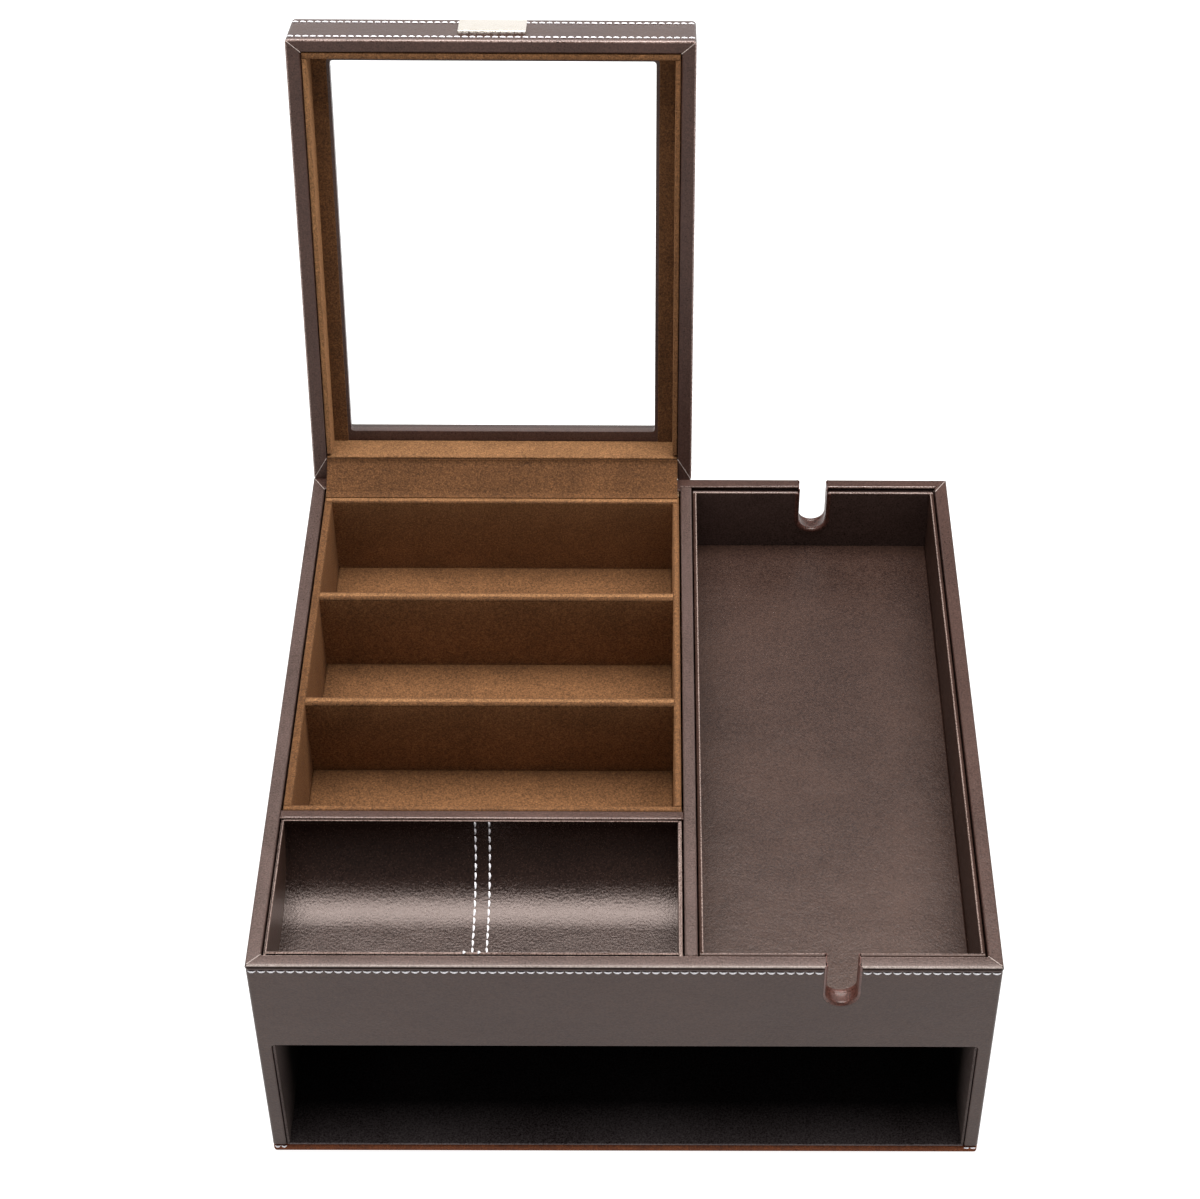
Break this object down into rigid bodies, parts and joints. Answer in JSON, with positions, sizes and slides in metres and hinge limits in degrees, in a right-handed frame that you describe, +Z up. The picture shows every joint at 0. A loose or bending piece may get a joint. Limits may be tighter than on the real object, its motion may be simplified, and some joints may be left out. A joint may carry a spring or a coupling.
{
  "type": "valet box with glazed glasses compartment",
  "caption": "Leather-covered valet box: glazed hinged lid over glasses slots, curved scoop tray, long tray with cable notches, open cubby below.",
  "frame": {"origin": "centre of the case's underside", "axes": "+Z up, +X to the right seen from the open cubby side, +Y to the rear, where the lid is hinged"},
  "size_m": [0.32, 0.3944, 0.3572],
  "materials": {
    "brown_leather": "dark brown faux leather over board, fine grain, satin",
    "edge_leather": "glossy reddish-brown painted leather edging",
    "brown_suede": "mid-brown suede-like flock over board, matt",
    "russet_suede": "russet suede-like sheet under the base",
    "black_lining": "black lining paper over thin board",
    "fibreboard": "plain fibreboard, hidden inside",
    "glass": "clear flat glass",
    "polished_nickel": "polished nickel plate",
    "hinge_steel": "plated steel"
  },
  "bodies": {
    "case": {"base_board": "fibreboard", "base_cover": "russet_suede", "case_hinge_leaves": "hinge_steel", "case_hinge_screws": "hinge_steel", "case_hinge_strip": "brown_suede", "cross_divider": "brown_leather", "cubby_ceiling_lining": "black_lining", "cubby_floor_lining": "black_lining", "cubby_rear_lining": "black_lining", "cubby_side_linings": "black_lining", "front_apron": "brown_leather", "front_notch_trim": "edge_leather", "front_rim": "brown_leather", "hinge_pins": "hinge_steel", "hinge_rail": "fibreboard", "left_rim": "brown_leather", "left_side_panel": "brown_leather", "long_divider": "brown_leather", "middle_deck": "fibreboard", "rear_notch_trim": "edge_leather", "rear_panel": "brown_leather", "rear_rim": "brown_leather", "right_rim": "brown_leather", "right_side_panel": "brown_leather", "scoop_left_lining": "brown_leather", "scoop_panel": "brown_leather", "scoop_ribs": "fibreboard", "scoop_right_lining": "brown_leather", "slot_front_divider": "brown_suede", "slot_front_lining": "brown_suede", "slot_front_pad": "brown_suede", "slot_left_lining": "brown_suede", "slot_middle_pad": "brown_suede", "slot_rear_divider": "brown_suede", "slot_rear_lining": "brown_suede", "slot_rear_pad": "brown_suede", "slot_right_lining": "brown_suede", "tray_battens": "fibreboard", "tray_floor_board": "fibreboard", "tray_floor_pad": "brown_leather", "tray_front_lining": "brown_leather", "tray_left_lining": "brown_leather", "tray_rear_lining": "brown_leather", "tray_right_lining": "brown_leather"},
    "lid": {"clasp_plate": "polished_nickel", "lid_front_lining": "brown_suede", "lid_front_rail": "brown_leather", "lid_glass": "glass", "lid_hinge_leaves": "hinge_steel", "lid_hinge_screws": "hinge_steel", "lid_hinge_strip": "brown_suede", "lid_inner_board": "brown_leather", "lid_left_lining": "brown_suede", "lid_left_rail": "brown_leather", "lid_rear_lining": "brown_suede", "lid_rear_rail": "brown_leather", "lid_right_lining": "brown_suede", "lid_right_rail": "brown_leather", "lid_rim": "brown_leather", "lid_top_frame": "brown_leather"}
  },
  "joints": [
    {"name": "lid_hinge", "type": "hinge", "parent": "case", "child": "lid", "pos_m": [0, 0.1565, 0.13415], "axis": [1, 0, 0], "range_deg": [0, 103]}
  ]
}
